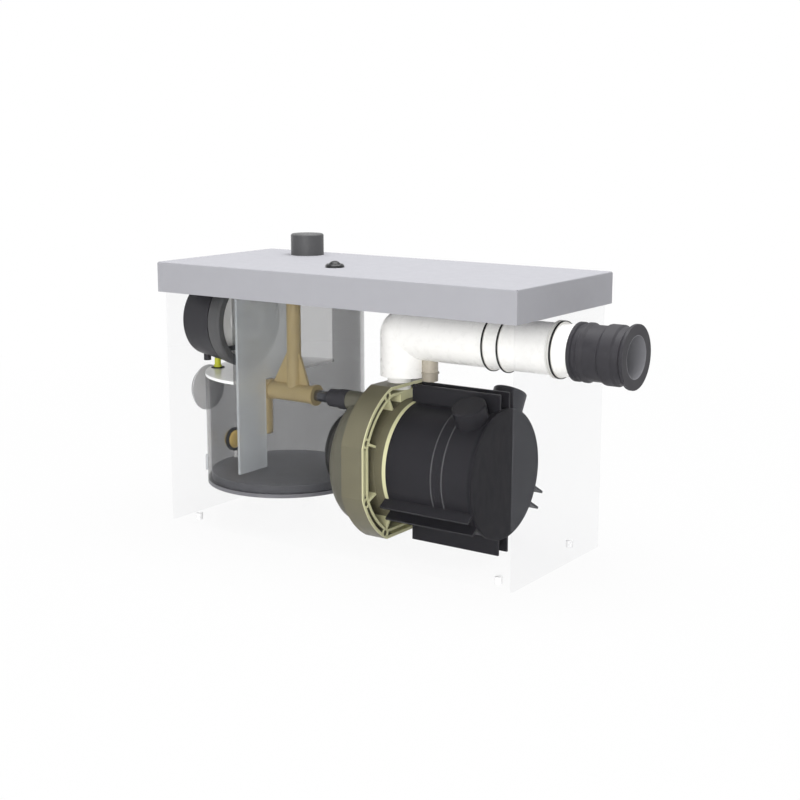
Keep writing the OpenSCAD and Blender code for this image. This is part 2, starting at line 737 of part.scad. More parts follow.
module pump_flange() {
    hub_r = 22;
    spoke_t = 3;
    rib_t = 2.4;
    block = 5;
    spigot_r = ring_r - 0.4;
    color([0.62, 0.61, 0.44]) difference() {
        union() {
            across(flange_x, flange_end) flange_outline(0);
            xcyl(flange_end - 1, motor_x, spigot_r, 0, pump_z);
        }
        // Slots between the two walls, with a block at each screw
        across(flange_x + plate_t + 3, flange_end + e) difference() {
            flange_outline(flange_wall);
            flange_outline(flange_wall + slot_gap);
            at_screws() circle(r = block);
        }
        // Pockets between the inner wall and the motor ring, with radial ribs
        across(flange_x + plate_t, flange_end + e) difference() {
            flange_outline(pocket_in);
            circle(r = ring_r);
            for (a = screw_angles) rotate(a) translate([0, -rib_t / 2]) square([flange_r, rib_t]);
            translate([-16, 0]) square([32, flange_r]);
        }
        // Space round the hub, with spokes
        across(flange_x + plate_t, motor_x + e) difference() {
            circle(r = spigot_r - 3.5);
            circle(r = hub_r);
            for (a = [0 : 45 : 315]) rotate(a) translate([0, -spoke_t / 2]) square([flange_r, spoke_t]);
        }
        xcyl(flange_x - e, motor_x + e, shaft_r + 2, 0, pump_z);
        xcyl(flange_x - e, flange_x + 9, 14, 0, pump_z);
        xcyl(motor_x - bearing_w - 2, motor_x + e, bearing_r, 0, pump_z);
        // Outlet port from the volute up to the discharge leg
        translate([outlet_x, 0, pump_z + 43]) cylinder(h = 60, r = outlet_r + 0.1);
        xcyl(flange_x - e, outlet_x, 7, 0, pump_z + 50);
        across(flange_x - e, flange_end + e) at_screws() circle(r = screw_r + 0.05);
        across(flange_end - 5, flange_end + e) at_screws() circle(r = head_r + 0.2);
    }
}

module flange_screws() {
    color([0.4, 0.4, 0.38]) union() {
        across(flange_x + 0.2, flange_end - 4) at_screws() circle(r = screw_r);
        across(flange_end - 5, flange_end - 2) at_screws() circle(r = head_r);
    }
}

module motor_shell() {
    ridge = 0.6;
    ridge_x = [motor_x + 53.2, motor_x + 65.5];
    ridge_w = 1;
    front_boss = [motor_x + 77, motor_r + 16, 25];
    back_boss = [motor_x + 80, motor_r + 22.8, -28.6];
    color([0.2, 0.2, 0.21]) difference() {
        union() {
            xcyl(motor_x, motor_end, motor_r, 0, pump_z);
            for (x = ridge_x) xturn([[motor_r - 1, x - ridge_w], [motor_r, x - ridge_w], [motor_r + ridge, x],
                [motor_r, x + ridge_w], [motor_r - 1, x + ridge_w]], 0, pump_z);
            for (p = fin_pairs, s = [-1, 1]) across(fin_x, motor_end + 2) rotate(p[0])
                translate([ring_r - 0.4, s * fin_half - fin_t / 2]) square([p[1] - ring_r + 0.4, fin_t]);
            for (p = fin_pairs, s = [-1, 1]) across(motor_x, motor_end) rotate(p[0])
                translate([motor_r - 3, s * fin_half - fin_t / 2]) square([4, fin_t]);
            for (b = [front_boss, back_boss]) translate([b[0], 0, pump_z]) rotate([b[2], 0, 0])
                rotate_extrude() polygon([[0, motor_r - 14], [boss_r, motor_r - 14], [boss_r, b[1] - 1.2],
                    [boss_r - 1.2, b[1]], [0, b[1]]]);
        }
        xcyl(motor_x + 3, motor_end + e, motor_r - motor_wall, 0, pump_z);
        xcyl(motor_x - e, motor_x + 5, shaft_r + 2, 0, pump_z);
        xcyl(motor_end, motor_end + 5, end_cap_r + 0.2, 0, pump_z);
    }
}

module motor_end_cap() {
    hub = bearing_r + 4;
    color([0.18, 0.18, 0.19]) difference() {
        union() {
            xturn([[0, motor_end], [end_cap_r, motor_end], [end_cap_r, motor_end + cap_t - 1],
                [end_cap_r - 1, motor_end + cap_t], [0, motor_end + cap_t]], 0, pump_z);
            xcyl(motor_end - 5, motor_end + 1, motor_r - motor_wall - fit, 0, pump_z);
            xcyl(motor_end - 16, motor_end, hub, 0, pump_z);
        }
        xcyl(motor_end - 17, motor_end - 2, bearing_r, 0, pump_z);
    }
}

module stator() {
    color([0.5, 0.36, 0.25]) difference() {
        xcyl(stator_x, stator_x + stator_l, motor_r - motor_wall - fit, 0, pump_z);
        xcyl(stator_x - e, stator_x + stator_l + e, rotor_r + 0.6, 0, pump_z);
        for (i = [0 : 11]) translate([0, 0, pump_z]) rotate([i * 30, 0, 0])
            translate([stator_x - e, rotor_r - 1, -3]) cube([stator_l + 2 * e, 9, 6]);
    }
}

module bearing(x0) {
    color([0.7, 0.7, 0.72]) xtube(x0, x0 + bearing_w, bearing_r - 0.02, shaft_r + run, 0, pump_z);
}

module front_bearing() {
    bearing(motor_x - bearing_w - 1);
}

module rear_bearing() {
    bearing(motor_end - 2 - bearing_w - 1);
}

module shaft_seal() {
    color([0.14, 0.14, 0.15]) xturn([[shaft_r + run, flange_x + 1], [13.95, flange_x + 1], [13.95, flange_x + 8.5],
        [shaft_r + run + 2, flange_x + 8.5], [shaft_r + run + 1, flange_x + 4], [shaft_r + run, flange_x + 4]], 0, pump_z);
}

module motor_shaft() {
    color([0.76, 0.76, 0.78]) xturn([[0, shaft_tip], [shaft_r - 1, shaft_tip], [shaft_r, shaft_tip + 1],
        [shaft_r, motor_end - 3.5], [shaft_r - 0.6, motor_end - 3], [0, motor_end - 3]], 0, pump_z);
}

module motor_rotor() {
    color([0.45, 0.45, 0.47]) xtube(stator_x, stator_x + stator_l, rotor_r, shaft_r + 0.01, 0, pump_z);
}

module impeller() {
    vanes = 6;
    vane_t = 3;
    vane_bend = 36;
    disc_t = 3;
    hub_r = 13;
    back = flange_x - 3;
    color([0.25, 0.25, 0.27]) difference() {
        union() {
            across(back - disc_t, back) circle(r = impeller_r);
            xcyl(impeller_x, back, hub_r, 0, pump_z);
            across(impeller_x, back - disc_t + 0.1) for (i = [0 : vanes - 1]) rotate(i * 360 / vanes) intersection() {
                translate([0, vane_bend]) difference() {
                    circle(r = vane_bend);
                    circle(r = vane_bend - vane_t);
                }
                circle(r = impeller_r - 0.5);
                square([impeller_r, 2 * vane_bend]);
            }
        }
        xcyl(impeller_x - e, back + e, shaft_r + 0.01, 0, pump_z);
    }
}

module cutter_blade() {
    hub = 11;
    tip = 5;
    color([0.74, 0.75, 0.78]) difference() {
        across(blade_x, blade_x + blade_t) union() {
            circle(r = hub);
            for (a = [0, 180]) rotate(a) polygon([[0, -hub], [blade_r * 0.6, -tip - 2], [blade_r - 1, -tip],
                [blade_r, 0], [blade_r - 3, tip - 1], [blade_r * 0.5, tip - 1], [0, hub]]);
        }
        xcyl(blade_x - e, blade_x + blade_t + e, shaft_r + 0.01, 0, pump_z);
    }
}

module cutter_nut() {
    color([0.7, 0.71, 0.74]) difference() {
        across(blade_x - nut_l, blade_x) circle(r = 10, $fn = 6);
        xcyl(blade_x - nut_l - e, blade_x + e, shaft_r + 0.01, 0, pump_z);
    }
}

module discharge_elbow() {
    r = pipe_r;
    bore = pipe_r - pipe_wall;
    color([0.97, 0.97, 0.96]) difference() {
        union() {
            xcyl(leg_x, joint_x, r, 0, pipe_z);
            xcyl(leg_x, joint_x + spigot_l, bore + 1.4, 0, pipe_z);
            translate([leg_x, 0, pipe_z]) sphere(r = r, $fn = 72);
            translate([leg_x, 0, leg_bottom]) cylinder(h = pipe_z - leg_bottom, r = r);
            translate([outlet_x, 0, outlet_top - 12]) cylinder(h = leg_bottom - outlet_top + 13, r = outlet_r);
            translate([stub_x, 0, stub_end]) cylinder(h = pipe_z - stub_end, r = stub_r);
        }
        xcyl(leg_x, joint_x + spigot_l + e, bore, 0, pipe_z);
        translate([leg_x, 0, pipe_z]) sphere(r = bore, $fn = 72);
        translate([leg_x, 0, leg_bottom + 3]) cylinder(h = pipe_z - leg_bottom - 3, r = bore);
        translate([outlet_x, 0, outlet_top - 13]) cylinder(h = 40, r = outlet_r - 2.5);
        translate([stub_x, 0, stub_end - e]) cylinder(h = pipe_z - stub_end, r = stub_r - 2.5);
    }
}

module stub_cap() {
    lip = 1.4;
    color([0.9, 0.88, 0.84]) difference() {
        translate([stub_x, 0, stub_end]) union() {
            translate([0, 0, -9]) cylinder(h = 9, r = stub_r);
            cylinder(h = 6, r = stub_r - 2.55);
            translate([0, 0, -lip]) cylinder(h = lip, r = stub_r + 1.1);
        }
        translate([leg_x, 0, leg_bottom - 1]) cylinder(h = 20, r = pipe_r + fit);
    }
}

module outlet_pipe() {
    bore = pipe_r - pipe_wall;
    color([0.97, 0.97, 0.96]) difference() {
        xcyl(joint_x, pipe_end, pipe_r, 0, pipe_z);
        xcyl(joint_x - e, pipe_end + e, bore, 0, pipe_z);
        xcyl(joint_x - e, joint_x + spigot_l + fit, bore + 1.45, 0, pipe_z);
    }
}

module pipe_rings() {
    color([0.16, 0.16, 0.15]) for (x = [joint_x - 0.5, joint_x + 16.4])
        xtube(x - 0.8, x + 0.8, pipe_r + 2.6, pipe_r + 0.05, 0, pipe_z);
}

module wall_grommet() {
    color([0.14, 0.14, 0.15]) difference() {
        union() {
            xcyl(inner_l - 1.6, tank_l / 2 + 0.6, pipe_r + 1.15, 0, pipe_z);
            xcyl(inner_l - 1.6, inner_l, pipe_r + 2.6, 0, pipe_z);
            xcyl(tank_l / 2, tank_l / 2 + 1.8, pipe_r + 2.6, 0, pipe_z);
        }
        xcyl(inner_l - 3, tank_l / 2 + 3, pipe_r + 0.05, 0, pipe_z);
    }
}

module discharge_coupling() {
    x = coupling_x;
    xe = coupling_end;
    r = pipe_r;
    color([0.2, 0.2, 0.21]) xturn([
        [r + 0.02, x], [r + 3, x], [r + 3, x + 3.4], [r + 1.2, x + 4.4], [r + 1.2, x + 8.6],
        [r + 3.2, x + 10], [r + 3.2, x + 13], [r + 1.4, x + 15.5], [r + 1.4, x + 30], [r + 3.2, x + 31.5],
        [r + 3.6, x + 33], [r + 3.6, x + 44], [r + 2, x + 46], [r + 1.6, xe - 6.5], [r + 5, xe - 3.6], [r + 5.5, xe - 2.6],
        [r + 5.5, xe], [coupling_bore, xe], [coupling_bore, pipe_end + 0.2], [r + 0.02, pipe_end + 0.2]],
        0, pipe_z, $fn = 96);
}

module valve_seat() {
    bore = pipe_r - pipe_wall;
    color([0.88, 0.88, 0.87]) difference() {
        union() {
            xtube(seat_x, seat_x + seat_t, bore - 0.05, flap_r - 2.6, 0, pipe_z);
            for (s = [-1, 1]) translate([seat_x + seat_t - 1, s * 7.3 - 1, pipe_z + hinge_dz - 3])
                cube([hinge_x - seat_x - seat_t + 1 + knuckle_r, 2, 3 + 1.6]);
        }
        ycyl(-12, 12, pin_r + 0.01, hinge_x, pipe_z + hinge_dz);
    }
}

module check_flap() {
    x0 = seat_x + seat_t + flap_gap;
    color([0.2, 0.2, 0.21]) difference() {
        union() {
            xcyl(x0, x0 + flap_t, flap_r - 0.6, 0, pipe_z - 0.6);
            xcyl(x0 + flap_t - 0.1, x0 + flap_t + 1.6, 6, 0, pipe_z - 2);
            ycyl(-knuckle_l / 2, knuckle_l / 2, knuckle_r, hinge_x, pipe_z + hinge_dz);
            translate([x0, -knuckle_l / 2, pipe_z + hinge_dz - 6]) cube([flap_t, knuckle_l, 6]);
        }
        ycyl(-8, 8, pin_r + run, hinge_x, pipe_z + hinge_dz);
        // Room for the ears of the seat
        for (y = [-flap_r - knuckle_l / 2 - 0.05, knuckle_l / 2 + 0.05])
            translate([x0 - e, y, pipe_z + hinge_dz - ear_reach]) cube([6, flap_r, 10]);
    }
}

module flap_pin() {
    color([0.75, 0.75, 0.77]) ycyl(-8.3, 8.3, pin_r, hinge_x, pipe_z + hinge_dz);
}

module cable_gland() {
    y0 = inner_w;
    y1 = tank_w / 2;
    color([0.15, 0.15, 0.16]) difference() {
        union() {
            ycyl(y0 - 3, y1 + 1, gland_r - 0.05, gland_x, gland_z);
            ycyl(y0 - 3.5, y0, gland_r + 4, gland_x, gland_z, $fn = 6);
            ycyl(y1, y1 + 4, gland_r + 3.5, gland_x, gland_z, $fn = 6);
            translate([gland_x, y1 + 4, gland_z]) rotate([-90, 0, 0])
                rotate_extrude() polygon([[0, 0], [gland_r + 1, 0], [gland_r, 2.5], [gland_r - 3, 5], [0, 5]]);
        }
        ycyl(y0 - 5, y1 + 12, 4, gland_x, gland_z);
    }
}

tank_floor();
tank_sides();
tank_ends();
tank_supports();
floor_inserts();
lid_seal();
lid();
vent_cap();
vent_filter();
button_bezel();
button_socket();
push_button();
button_spring();
chamber_tube();
chamber_base();
base_clips();
cover_plate();
splash_baffle();
switch_housing();
switch_rim();
switch_diaphragm();
switch_contacts();
pressure_nipple();
nipple_grommet();
side_inlet_cap();
side_inlet_seal();
port_bush();
port_grommet();
drain_pin();
manifold();
steel_tube();
rubber_sleeve();
grinder_housing();
cutter_ring();
pump_housing();
pump_flange();
housing_gasket();
flange_screws();
motor_shell();
motor_end_cap();
stator();
front_bearing();
rear_bearing();
shaft_seal();
motor_shaft();
motor_rotor();
impeller();
cutter_blade();
cutter_nut();
discharge_elbow();
outlet_pipe();
pipe_rings();
stub_cap();
wall_grommet();
discharge_coupling();
valve_seat();
check_flap();
flap_pin();
cable_gland();
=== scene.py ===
import math

import bmesh
import bpy
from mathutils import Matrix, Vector


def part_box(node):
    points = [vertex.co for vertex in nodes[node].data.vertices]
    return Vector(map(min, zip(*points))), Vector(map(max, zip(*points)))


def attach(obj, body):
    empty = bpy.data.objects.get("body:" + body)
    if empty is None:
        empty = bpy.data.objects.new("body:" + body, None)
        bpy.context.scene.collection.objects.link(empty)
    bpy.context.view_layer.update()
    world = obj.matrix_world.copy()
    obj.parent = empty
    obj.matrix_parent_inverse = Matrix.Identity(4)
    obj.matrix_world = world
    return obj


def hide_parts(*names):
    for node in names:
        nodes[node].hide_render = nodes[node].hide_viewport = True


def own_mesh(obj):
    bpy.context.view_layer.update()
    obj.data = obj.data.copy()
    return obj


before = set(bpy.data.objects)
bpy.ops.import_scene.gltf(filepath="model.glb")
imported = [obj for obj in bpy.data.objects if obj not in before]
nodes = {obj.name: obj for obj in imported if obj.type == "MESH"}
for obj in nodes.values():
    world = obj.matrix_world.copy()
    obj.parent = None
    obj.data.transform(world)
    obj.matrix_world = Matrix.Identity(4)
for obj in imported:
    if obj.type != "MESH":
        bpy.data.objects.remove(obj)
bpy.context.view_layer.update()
scene = bpy.context.scene


# Places that some finishes follow, in metres
pump_height = 0.085
pipe_height = 0.2143
ridge_middle = 0.11335
ridge_half_gap = 0.00615
ridge_half_width = 0.0005
shell_skin = 0.0638
motor_seat = 0.0636
pocket_outside = 0.0775
pocket_floor = 0.0186
flange_rim = 0.0388
collar_edge = 0.0495
bore_skin = 0.0202
ring_rim = 0.0266
grommet_outside = 0.211
stub_place = (0.0648, 0, 0)
stub_neck = 0.0082
stub_top = 0.19

# Colours that several materials share
pipe_white = (247, 246, 243)
ring_black = (20, 20, 20)
ring_flank = (222, 221, 217)
coupling_grey = (46, 45, 49)

# Noise is turned off the axes, so that it doesn't line up with the part's flat faces
noise_tilt = (0.61, 0.37, 0.93)


# Materials

def lin(value):
    v = value / 255
    return v / 12.92 if v <= 0.04045 else ((v + 0.055) / 1.055) ** 2.4


def rgb(colour, gain=1.0):
    return (*[min(1.0, lin(v) * gain) for v in colour], 1.0)


def seen_rays(tree):
    """One where the camera, a mirror or glass sees the surface, or else nought."""
    path = tree.nodes.new("ShaderNodeLightPath")
    found = path.outputs["Is Camera Ray"]
    for ray in ("Is Glossy Ray", "Is Transmission Ray"):
        either = tree.nodes.new("ShaderNodeMath")
        either.operation = "MAXIMUM"
        tree.links.new(found, either.inputs[0])
        tree.links.new(path.outputs[ray], either.inputs[1])
        found = either.outputs[0]
    return found


class Nodes:
    """Short calls for building one material's node tree."""

    def __init__(self, name):
        self.mat = bpy.data.materials.new(name)
        self.mat.use_nodes = True
        self.tree = self.mat.node_tree
        self.shader = self.tree.nodes["Principled BSDF"]
        self.out = self.tree.nodes["Material Output"]
        self.coord = self.add("ShaderNodeTexCoord").outputs["Object"]

    def add(self, kind, **values):
        node = self.tree.nodes.new(kind)
        for key, value in values.items():
            setattr(node, key, value)
        return node

    def link(self, a, b):
        self.tree.links.new(a, b)

    def set(self, name, value):
        """Give the shader a fixed value."""
        self.shader.inputs[name].default_value = value

    def feed(self, name, socket):
        """Give the shader a value that varies over the surface."""
        self.link(socket, self.shader.inputs[name])

    def calc(self, operation, *values):
        """One step of arithmetic on sockets or fixed numbers."""
        node = self.add("ShaderNodeMath", operation=operation)
        for value, socket in zip(values, node.inputs):
            if isinstance(value, float):
                socket.default_value = value
            else:
                self.link(value, socket)
        return node.outputs[0]

    def noise(self, scale, detail, rough, stretch=None):
        node = self.add("ShaderNodeTexNoise")
        node.inputs["Scale"].default_value = scale
        node.inputs["Detail"].default_value = detail
        node.inputs["Roughness"].default_value = rough
        place = self.add("ShaderNodeMapping")
        if stretch:
            place.inputs["Scale"].default_value = stretch
        else:
            place.inputs["Rotation"].default_value = noise_tilt
        self.link(self.coord, place.inputs["Vector"])
        self.link(place.outputs["Vector"], node.inputs["Vector"])
        return node.outputs["Fac"]

    def ramp(self, fac, start, first, end, last):
        """Colours from first, up to start, to last, from end on."""
        node = self.add("ShaderNodeValToRGB")
        elements = node.color_ramp.elements
        for element, at, colour in ((elements[0], start, first), (elements[1], end, last)):
            element.position = at
            element.color = colour
        self.link(fac, node.inputs["Fac"])
        return node.outputs["Color"]

    def span(self, fac, low, high, start=0.3, end=0.7):
        """Numbers from low, up to start, to high, from end on."""
        node = self.add("ShaderNodeMapRange")
        node.inputs["From Min"].default_value = start
        node.inputs["From Max"].default_value = end
        node.inputs["To Min"].default_value = low
        node.inputs["To Max"].default_value = high
        self.link(fac, node.inputs["Value"])
        return node.outputs["Result"]

    def above(self, value, place, fade):
        """One past a place and nought before it, with a short fade between."""
        return self.span(value, 0.0, 1.0, place, place + fade)

    def below(self, value, place, fade):
        """One before a place and nought past it, with a short fade between."""
        return self.span(value, 1.0, 0.0, place, place + fade)

    def both(self, first, second):
        return self.calc("MULTIPLY", first, second)

    def away(self, value, centre):
        """How far a number is from a centre, either way."""
        return self.calc("ABSOLUTE", self.calc("SUBTRACT", value, centre))

    def part(self, axis):
        """One of the point's own coordinates."""
        node = self.add("ShaderNodeSeparateXYZ")
        self.link(self.coord, node.inputs[0])
        return node.outputs[axis]

    def distance(self, place, keep):
        """Distance from a place, counting the coordinates that keep marks with one."""
        offset = self.add("ShaderNodeVectorMath", operation="SUBTRACT")
        offset.inputs[1].default_value = place
        self.link(self.coord, offset.inputs[0])
        flat = self.add("ShaderNodeVectorMath", operation="MULTIPLY")
        flat.inputs[1].default_value = keep
        self.link(offset.outputs["Vector"], flat.inputs[0])
        length = self.add("ShaderNodeVectorMath", operation="LENGTH")
        self.link(flat.outputs["Vector"], length.inputs[0])
        return length.outputs["Value"]

    def radius(self, height):
        """Distance from the line along X at y = 0 and z = height."""
        return self.distance((0, 0, height), (0, 1, 1))

    def blend(self, fac, first, second):
        """Mix two colours, each a socket or a fixed colour."""
        node = self.add("ShaderNodeMix", data_type="RGBA")
        self.link(fac, node.inputs[0])
        for value, socket in ((first, node.inputs[6]), (second, node.inputs[7])):
            if isinstance(value, tuple):
                socket.default_value = value
            else:
                self.link(value, socket)
        return node.outputs[2]

    def bump(self, height, strength, distance):
        node = self.add("ShaderNodeBump")
        node.inputs["Strength"].default_value = strength
        node.inputs["Distance"].default_value = distance
        self.link(height, node.inputs["Height"])
        self.feed("Normal", node.outputs["Normal"])

    def cloudy(self, colour, mottle):
        """One colour with faint cloudy patches."""
        cloud = self.noise(scale=45, detail=4, rough=0.55)
        return self.ramp(cloud, 0.3, rgb(colour, 1 - mottle), 0.7, rgb(colour, 1 + mottle))

    def moulded(self, colour, low, high, shine, grain):
        """Moulded plastic of a given colour: gloss that varies from low to high and a fine texture."""
        self.feed("Base Color", colour)
        self.feed("Roughness", self.span(self.noise(scale=135, detail=5, rough=0.6), low, high))
        if grain:
            self.bump(self.noise(scale=650, detail=6, rough=0.65), grain, distance=0.0001)
        self.set("Specular IOR Level", shine)

    def rubbery(self, colour, low, high):
        """Matt rubber with a fine pebble; gives the colour of its skin, with a dusty bloom."""
        bloom = self.noise(scale=70, detail=6, rough=0.65)
        self.feed("Roughness", self.span(bloom, low, high))
        self.bump(self.noise(scale=900, detail=4, rough=0.6), strength=0.06, distance=0.0002)
        self.set("Specular IOR Level", 0.25)
        dusty = [v + 9 for v in colour]
        return self.ramp(bloom, 0.35, rgb(colour), 0.75, rgb(dusty))


def plastic(name, colour, rough=0.35, shine=0.5, mottle=0.05, grain=0.03, metallic=0.0):
    """Moulded plastic: faint cloudy colour, uneven gloss and a fine texture."""
    m = Nodes(name)
    m.moulded(m.cloudy(colour, mottle), rough * 0.85, rough * 1.2, shine, grain)
    m.set("Metallic", metallic)
    return m.mat


def see_through(name, colour, alpha, edge_alpha, rough=0.08, lamp_share=0.08, shine=0.5, edge_start=0.55):
    """Clear or tinted plastic, denser at grazing angles, that takes only a share of that from lamp light."""
    m = Nodes(name)
    cloud = m.noise(scale=30, detail=3, rough=0.5)
    m.feed("Base Color", m.ramp(cloud, 0.3, rgb(colour, 0.95), 0.7, rgb(colour, 1.05)))
    gloss = m.noise(scale=120, detail=3, rough=0.5)
    m.feed("Roughness", m.span(gloss, rough * 0.8, rough * 1.3))
    facing = m.add("ShaderNodeLayerWeight")
    facing.inputs["Blend"].default_value = 0.2
    density = m.span(facing.outputs["Facing"], alpha, edge_alpha, edge_start, 1.0)
    path = m.add("ShaderNodeLightPath")
    light_ray = m.calc("MAXIMUM", path.outputs["Is Shadow Ray"], path.outputs["Is Diffuse Ray"])
    lamps = m.span(light_ray, 1.0, lamp_share, 0.0, 1.0)
    m.feed("Alpha", m.both(density, lamps))
    m.set("Specular IOR Level", shine)
    return m.mat


def steel(name, colour, rough=0.28):
    """Turned metal with fine lines round X."""
    m = Nodes(name)
    lines = m.noise(scale=60, detail=6, rough=0.7, stretch=(1, 30, 30))
    m.feed("Base Color", m.ramp(lines, 0.3, rgb(colour, 0.82), 0.7, rgb(colour, 1.1)))
    m.feed("Roughness", m.span(lines, rough * 0.8, rough * 1.3))
    m.bump(lines, strength=0.08, distance=0.0002)
    m.set("Metallic", 1.0)
    return m.mat


def rubber(name, colour, rough=0.6):
    """Matt rubber of one colour."""
    m = Nodes(name)
    m.feed("Base Color", m.rubbery(colour, rough * 0.9, rough * 1.2))
    return m.mat


def elbow_plastic(name, colour, neck_shade):
    """White pipe plastic with painted shade: where the stub comes down from it, it is beige-grey for the
    shadow the stub stands in.
    """
    m = Nodes(name)
    near = m.below(m.distance(stub_place, (1, 1, 0)), stub_neck, fade=0.0004)
    under = m.below(m.part("Z"), stub_top, fade=0.002)
    skin = m.blend(m.both(near, under), m.cloudy(colour, 0.01), rgb(neck_shade))
    m.moulded(skin, 0.24, 0.34, shine=0.45, grain=0)
    return m.mat


def motor_plastic(name, colour, ridge_highlight):
    """Motor casing with a painted highlight: a thin paler line along the top of each of its two ridges."""
    m = Nodes(name)
    # Painted highlight: a thin pale line along the top of each ridge, where light catches it
    from_ridge = m.away(m.away(m.part("X"), ridge_middle), ridge_half_gap)
    ridge_highlight_band = m.below(from_ridge, ridge_half_width, fade=0.0003)
    low = m.below(m.radius(pump_height), shell_skin, fade=0.0002)
    skin = m.blend(m.both(ridge_highlight_band, low), m.cloudy(colour, 0.06), rgb(ridge_highlight))
    m.moulded(skin, 0.4, 0.54, shine=0.15, grain=0.06)
    return m.mat


def casting(name, colour, pocket, rim):
    """Pump flange: paler walls in its pockets and a pale rim on the motor's side."""
    m = Nodes(name)
    along = m.part("X")
    apart = m.radius(pump_height)
    outside = m.above(apart, motor_seat, fade=0.0004)
    within = m.both(outside, m.below(apart, pocket_outside, fade=0.001))
    deep = m.above(along, pocket_floor, fade=0.0004)
    walls = m.blend(m.both(within, deep), m.cloudy(colour, 0.06), rgb(pocket))
    edge = m.both(outside, m.above(along, flange_rim, fade=0.0005))
    rimmed = m.blend(edge, walls, rgb(rim))
    collar = m.above(along, collar_edge, fade=0.0005)
    m.moulded(m.blend(collar, rimmed, rgb(rim)), 0.34, 0.48, shine=0.35, grain=0.1)
    return m.mat


def bored_rubber(name, colour, bore):
    """Coupling rubber with a paler skin in its bore."""
    m = Nodes(name)
    inside = m.below(m.radius(pipe_height), bore_skin, fade=0.0004)
    m.feed("Base Color", m.blend(inside, m.rubbery(colour, 0.45, 0.6), rgb(bore)))
    return m.mat


def rimmed_rubber(name, rim, flank, start=0.0):
    """Thin ring: a black rim on a pale flank, from a start along X."""
    m = Nodes(name)
    outer = m.above(m.radius(pipe_height), ring_rim, fade=0.0002)
    outer = m.both(outer, m.above(m.part("X"), start, fade=0.0004))
    m.feed("Base Color", m.blend(outer, rgb(flank), m.rubbery(rim, 0.5, 0.7)))
    return m.mat


def carbon(name):
    """Loose black granules behind the vent."""
    m = Nodes(name)
    cells = m.add("ShaderNodeTexVoronoi")
    cells.inputs["Scale"].default_value = 700
    m.link(m.coord, cells.inputs["Vector"])
    m.feed("Base Color", m.ramp(cells.outputs["Distance"], 0.0, rgb((40, 40, 42)), 0.6, rgb((8, 8, 8))))
    m.bump(cells.outputs["Distance"], strength=0.6, distance=0.0006)
    m.set("Roughness", 0.9)
    return m.mat


def laminations(name):
    """Thin stacked steel sheets along X."""
    m = Nodes(name)
    wave = m.add("ShaderNodeTexWave", bands_direction="X")
    wave.inputs["Scale"].default_value = 320
    m.link(m.coord, wave.inputs["Vector"])
    m.feed("Base Color", m.ramp(wave.outputs["Fac"], 0.2, rgb((70, 66, 62)), 0.8, rgb((150, 144, 138))))
    m.bump(wave.outputs["Fac"], strength=0.3, distance=0.0003)
    m.set("Metallic", 0.9)
    m.set("Roughness", 0.42)
    return m.mat


clear = see_through("clear_side_plastic", (190, 194, 200), alpha=0.003, edge_alpha=0.02)
clear_end = see_through("clear_end_plastic", (176, 179, 186), alpha=0.045, edge_alpha=0.2)
smoke = see_through("smoked_plastic", (46, 47, 50), alpha=0.33, edge_alpha=0.62, rough=0.12,
                    lamp_share=0.04, shine=0.2, edge_start=0.1)
baffle_mat = see_through("polished_baffle", (244, 250, 255), alpha=0.6, edge_alpha=0.72, rough=0.12,
                         lamp_share=0.2)
clip_mat = see_through("clip_plastic", (190, 193, 196), alpha=0.6, edge_alpha=0.75)
lid_mat = plastic("lid_plastic", (162, 162, 167), rough=0.75, shine=0.1, mottle=0.012, grain=0.008)
vent_mat = plastic("vent_plastic", (78, 78, 79), rough=0.5, shine=0.3)
dark = plastic("dark_plastic", (46, 45, 49), rough=0.45, shine=0.2)
drum_mat = plastic("drum_plastic", (56, 55, 52), rough=0.4, shine=0.3)
base_mat = plastic("base_plastic", (112, 112, 116), rough=0.4, shine=0.3)
black = plastic("black_plastic", (22, 22, 24), rough=0.32, shine=0.35)
motor_mat = motor_plastic("motor_plastic", (36, 35, 39), ridge_highlight=(86, 86, 88))
cap_mat = plastic("end_cap_plastic", (32, 31, 35), rough=0.55, shine=0.1, mottle=0.03, grain=0.04)
grey_cap = plastic("grey_cap_plastic", (190, 190, 192), rough=0.5, shine=0.2)
white = plastic("white_plastic", (244, 244, 243), rough=0.22, shine=0.5, mottle=0.012, grain=0.01)
pipe_mat = plastic("pipe_plastic", pipe_white, rough=0.28, shine=0.45, mottle=0.01, grain=0.01)
# The elbow's stub part gets painted shade in beige-grey
elbow_mat = elbow_plastic("elbow_plastic", pipe_white, neck_shade=(176, 168, 153))
# Painted shade: the stub's colour is beige-grey for the shadow it stands in under the pipe
stub_shade_mat = plastic("stub_shaded_plastic", (158, 150, 136), rough=0.4, shine=0.35)
tan = plastic("tan_plastic", (214, 192, 138), rough=0.33, shine=0.4, mottle=0.06)
amber = plastic("amber_plastic", (255, 218, 122), rough=0.3, shine=0.4)
olive = casting("olive_plastic", (106, 102, 82), pocket=(215, 212, 170), rim=(218, 216, 174))
volute_mat = plastic("volute_plastic", (92, 90, 78), rough=0.42, shine=0.3, mottle=0.06, grain=0.18)
nipple_mat = plastic("nipple_plastic", (196, 200, 50), rough=0.35, shine=0.4)
impeller_mat = plastic("impeller_plastic", (50, 50, 54), rough=0.4, shine=0.3)
insert_mat = plastic("insert_metal", (250, 250, 250), rough=0.4, shine=0.4, metallic=0.05)
seal_mat = rubber("seal_rubber", (38, 38, 40))
coupling_mat = rubber("coupling_rubber", coupling_grey, rough=0.5)
bore_mat = bored_rubber("discharge_rubber", coupling_grey, bore=(130, 130, 134))
ring_mat = rubber("ring_rubber", ring_black)
rim_mat = rimmed_rubber("rimmed_rubber", ring_black, ring_flank)
grommet_mat = rimmed_rubber("grommet_rubber", ring_black, ring_flank, start=grommet_outside)
steel_mat = steel("turned_steel", (190, 190, 194))
tube_mat = steel("tube_steel", (150, 150, 156), rough=0.22)
screw_mat = steel("screw_steel", (120, 118, 108), rough=0.35)
stack_mat = laminations("laminations")
filter_mat = carbon("carbon_granules")

